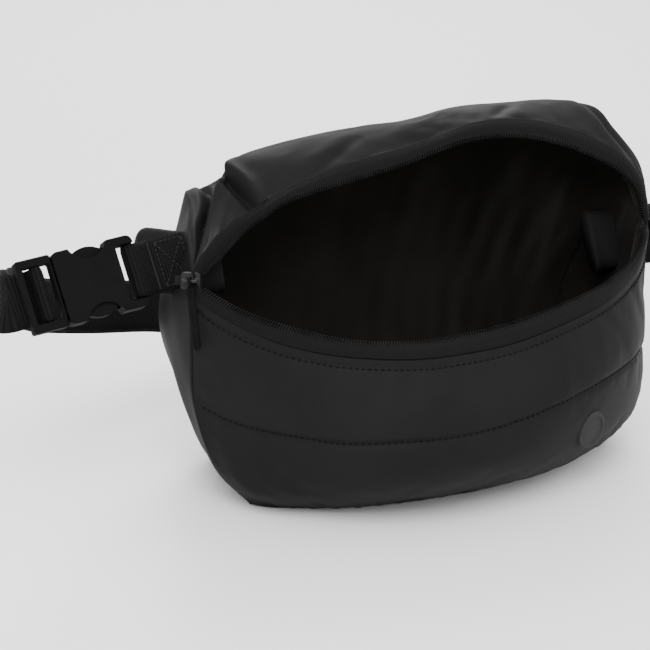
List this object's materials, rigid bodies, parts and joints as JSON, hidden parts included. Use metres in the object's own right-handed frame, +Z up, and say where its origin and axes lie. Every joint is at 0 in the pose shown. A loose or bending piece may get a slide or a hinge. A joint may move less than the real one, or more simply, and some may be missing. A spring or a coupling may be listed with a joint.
{
  "type": "waist pack",
  "caption": "Soft padded waist pack standing open, with a curved coil zip, webbing belt and side-release buckle.",
  "frame": {"origin": "middle of the base, on the surface that the bag stands on", "axes": "+X to the right seen from the front, +Y to the back of the bag, +Z up"},
  "size_m": [0.3669, 0.2514, 0.169],
  "materials": {
    "shell_nylon": "matte woven nylon",
    "wadding": "polyester wadding",
    "lining_cloth": "smooth coated lining",
    "zip_tape": "herringbone tape",
    "zip_coil": "nylon coil",
    "black_metal": "satin black",
    "pull_rubber": "matte",
    "webbing": "ribbed polyester webbing",
    "buckle_plastic": "moulded acetal, fine satin",
    "badge_rubber": "moulded, matte"
  },
  "bodies": {
    "bag": {"base_panel": "shell_nylon", "front_panel": "shell_nylon", "front_wadding": "wadding", "back_panel": "shell_nylon", "back_foam": "wadding", "top_panel": "shell_nylon", "top_wadding": "wadding", "gusset_left": "shell_nylon", "gusset_right": "shell_nylon", "lining": "lining_cloth", "wing_left": "shell_nylon", "wing_right": "shell_nylon", "zip_tape_lower": "zip_tape", "zip_tape_upper": "zip_tape", "zip_coil_lower": "zip_coil", "zip_coil_upper": "zip_coil", "zip_chain_end": "zip_coil", "tab_left": "webbing", "tab_right": "webbing", "strap": "webbing", "strap_tail": "webbing", "buckle_socket": "buckle_plastic", "badge": "badge_rubber"},
    "slider": {"zip_slider": "black_metal"},
    "pull": {"zip_pull": "pull_rubber"},
    "plug": {"buckle_plug": "buckle_plastic", "strap_wrap": "webbing"},
    "prong_upper": {"buckle_prong_upper": "buckle_plastic"},
    "prong_lower": {"buckle_prong_lower": "buckle_plastic"}
  },
  "joints": [
    {"name": "zip_travel", "type": "slide", "parent": "bag", "child": "slider", "axis": [0.9084, -0.4182, 0], "range_m": [0, 0.005]},
    {"name": "pull_swing", "type": "hinge", "parent": "slider", "child": "pull", "pos_m": [-0.12409, -0.01853, 0.11796], "axis": [-0.9084, 0.4182, 0], "range_deg": [0, 120]},
    {"name": "buckle_release", "type": "slide", "parent": "bag", "child": "plug", "axis": [-0.9903, -0.12, -0.07], "range_m": [0, 0.034], "deforming": ["strap", "strap_tail", "buckle_prong_upper", "buckle_prong_lower"]},
    {"name": "prong_upper_squeeze", "type": "hinge", "parent": "plug", "child": "prong_upper", "pos_m": [-0.18206, 0.00441, 0.12399], "axis": [-0.0678, 0.857, -0.5109], "range_deg": [0, 9], "stiffness_Nm_per_rad": 0.05},
    {"name": "prong_lower_squeeze", "type": "hinge", "parent": "plug", "child": "prong_lower", "pos_m": [-0.17958, -0.00582, 0.10652], "axis": [0.0678, -0.857, 0.5109], "range_deg": [0, 9], "stiffness_Nm_per_rad": 0.05}
  ],
  "couplings": [
    {"joint": "prong_lower_squeeze", "follows": "prong_upper_squeeze", "ratio": 1}
  ]
}
